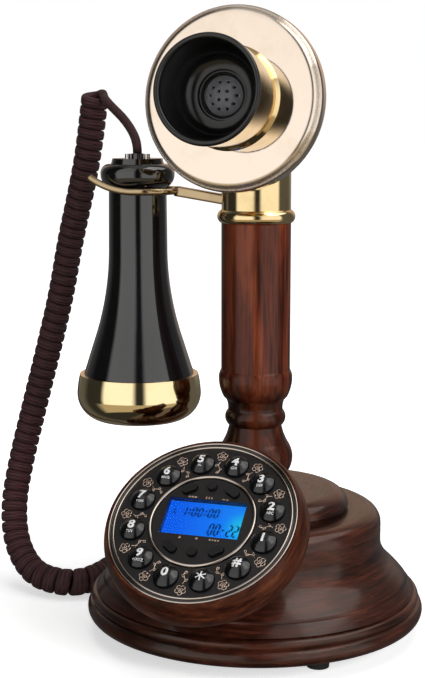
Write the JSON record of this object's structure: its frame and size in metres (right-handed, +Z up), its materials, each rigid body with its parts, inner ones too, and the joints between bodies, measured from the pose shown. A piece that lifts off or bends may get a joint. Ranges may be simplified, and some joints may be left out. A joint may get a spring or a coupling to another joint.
{
  "type": "candlestick telephone",
  "caption": "Candlestick telephone with a turned wooden base and pillar, tilting brass mouthpiece, hooked receiver on a curly cord, and a push-button dial with a display.",
  "frame": {"origin": "on the axis of the pillar, at the level where the feet stand", "axes": "+Z up along the pillar, dial and mouthpiece towards -Y, receiver towards -X"},
  "size_m": [0.2588, 0.2143, 0.33],
  "materials": {
    "wood": "dark red-brown stain under gloss varnish",
    "brass": "polished",
    "pale_brass": "polished, pale",
    "old_brass": "polished, darker",
    "black_gloss": "black, glossy",
    "key_black": "black, glossy",
    "dial_black": "black, satin",
    "trim": "plated, rose tint",
    "rubber": "matte",
    "black_plastic": "matte",
    "steel": "plated",
    "lens": "clear",
    "display": "lit blue",
    "board": "green",
    "speaker": "dark grey",
    "cord": "woven, dark wine brown"
  },
  "bodies": {
    "base": {"base_skirt": "wood", "base_drum": "wood", "base_plinth": "wood", "pillar": "wood", "dial_housing": "wood", "collar": "brass", "head_yoke": "brass", "head_pivot_pin": "brass", "dial_plate": "dial_black", "display_panel": "dial_black", "dial_trim_ring": "trim", "display_ring": "trim", "base_feet": "rubber", "cord_grommet": "rubber", "keypad_membrane": "rubber", "base_plate": "black_plastic", "line_jack": "black_plastic", "hook_switch": "black_plastic", "ringer": "black_plastic", "base_screws": "steel", "tie_tube": "steel", "tie_nuts": "steel", "hook_bracket": "steel", "hook_spring": "steel", "display_lens": "lens", "lcd_module": "display", "keypad_board": "board", "main_board": "board"},
    "hook": {"hook_arm": "brass"},
    "receiver": {"receiver_shell": "black_gloss", "receiver_cap": "black_gloss", "receiver_terminals": "steel", "receiver_ear_cup": "old_brass", "receiver_ear_plate": "black_gloss", "receiver_speaker": "speaker", "cord_leader": "cord", "cord_coil": "cord"},
    "head": {"dish": "pale_brass", "mouthpiece_sleeve": "brass", "mouthpiece": "black_gloss", "mic_capsule": "speaker", "head_back_shell": "brass"},
    "key_1_body": {"key_1": "key_black"},
    "key_2_body": {"key_2": "key_black"},
    "key_3_body": {"key_3": "key_black"},
    "key_4_body": {"key_4": "key_black"},
    "key_5_body": {"key_5": "key_black"},
    "key_6_body": {"key_6": "key_black"},
    "key_7_body": {"key_7": "key_black"},
    "key_8_body": {"key_8": "key_black"},
    "key_9_body": {"key_9": "key_black"},
    "key_0_body": {"key_0": "key_black"},
    "key_star_body": {"key_star": "key_black"},
    "key_hash_body": {"key_hash": "key_black"},
    "key_function_1_body": {"key_function_1": "key_black"},
    "key_function_2_body": {"key_function_2": "key_black"},
    "key_function_3_body": {"key_function_3": "key_black"},
    "key_function_4_body": {"key_function_4": "key_black"},
    "key_function_5_body": {"key_function_5": "key_black"},
    "key_function_6_body": {"key_function_6": "key_black"}
  },
  "joints": [
    {"name": "receiver_lift", "type": "slide", "parent": "base", "child": "receiver", "axis": [-0.7071, 0, 0.7071], "range_m": [0, 0.08]},
    {"name": "hook_rise", "type": "hinge", "parent": "base", "child": "hook", "pos_m": [-0.0105, 0, 0.2308], "axis": [0, 1, 0], "range_deg": [0, 6], "deforming": ["hook_spring"]},
    {"name": "head_tilt", "type": "hinge", "parent": "base", "child": "head", "pos_m": [0, 0, 0.2798], "axis": [-1, 0, 0], "range_deg": [-10, 20]},
    {"name": "key_1_press", "type": "slide", "parent": "base", "child": "key_1_body", "axis": [0, 0.6347, -0.7727], "range_m": [0, 0.0016], "stiffness_N_per_m": 250},
    {"name": "key_2_press", "type": "slide", "parent": "base", "child": "key_2_body", "axis": [0, 0.6347, -0.7727], "range_m": [0, 0.0016], "stiffness_N_per_m": 250},
    {"name": "key_3_press", "type": "slide", "parent": "base", "child": "key_3_body", "axis": [0, 0.6347, -0.7727], "range_m": [0, 0.0016], "stiffness_N_per_m": 250},
    {"name": "key_4_press", "type": "slide", "parent": "base", "child": "key_4_body", "axis": [0, 0.6347, -0.7727], "range_m": [0, 0.0016], "stiffness_N_per_m": 250},
    {"name": "key_5_press", "type": "slide", "parent": "base", "child": "key_5_body", "axis": [0, 0.6347, -0.7727], "range_m": [0, 0.0016], "stiffness_N_per_m": 250},
    {"name": "key_6_press", "type": "slide", "parent": "base", "child": "key_6_body", "axis": [0, 0.6347, -0.7727], "range_m": [0, 0.0016], "stiffness_N_per_m": 250},
    {"name": "key_7_press", "type": "slide", "parent": "base", "child": "key_7_body", "axis": [0, 0.6347, -0.7727], "range_m": [0, 0.0016], "stiffness_N_per_m": 250},
    {"name": "key_8_press", "type": "slide", "parent": "base", "child": "key_8_body", "axis": [0, 0.6347, -0.7727], "range_m": [0, 0.0016], "stiffness_N_per_m": 250},
    {"name": "key_9_press", "type": "slide", "parent": "base", "child": "key_9_body", "axis": [0, 0.6347, -0.7727], "range_m": [0, 0.0016], "stiffness_N_per_m": 250},
    {"name": "key_0_press", "type": "slide", "parent": "base", "child": "key_0_body", "axis": [0, 0.6347, -0.7727], "range_m": [0, 0.0016], "stiffness_N_per_m": 250},
    {"name": "key_star_press", "type": "slide", "parent": "base", "child": "key_star_body", "axis": [0, 0.6347, -0.7727], "range_m": [0, 0.0016], "stiffness_N_per_m": 250},
    {"name": "key_hash_press", "type": "slide", "parent": "base", "child": "key_hash_body", "axis": [0, 0.6347, -0.7727], "range_m": [0, 0.0016], "stiffness_N_per_m": 250},
    {"name": "key_function_1_press", "type": "slide", "parent": "base", "child": "key_function_1_body", "axis": [0, 0.6347, -0.7727], "range_m": [0, 0.0016], "stiffness_N_per_m": 250},
    {"name": "key_function_2_press", "type": "slide", "parent": "base", "child": "key_function_2_body", "axis": [0, 0.6347, -0.7727], "range_m": [0, 0.0016], "stiffness_N_per_m": 250},
    {"name": "key_function_3_press", "type": "slide", "parent": "base", "child": "key_function_3_body", "axis": [0, 0.6347, -0.7727], "range_m": [0, 0.0016], "stiffness_N_per_m": 250},
    {"name": "key_function_4_press", "type": "slide", "parent": "base", "child": "key_function_4_body", "axis": [0, 0.6347, -0.7727], "range_m": [0, 0.0016], "stiffness_N_per_m": 250},
    {"name": "key_function_5_press", "type": "slide", "parent": "base", "child": "key_function_5_body", "axis": [0, 0.6347, -0.7727], "range_m": [0, 0.0016], "stiffness_N_per_m": 250},
    {"name": "key_function_6_press", "type": "slide", "parent": "base", "child": "key_function_6_body", "axis": [0, 0.6347, -0.7727], "range_m": [0, 0.0016], "stiffness_N_per_m": 250}
  ],
  "couplings": [
    {"joint": "hook_rise", "follows": "receiver_lift", "rad_per_m": 1.3089}
  ]
}
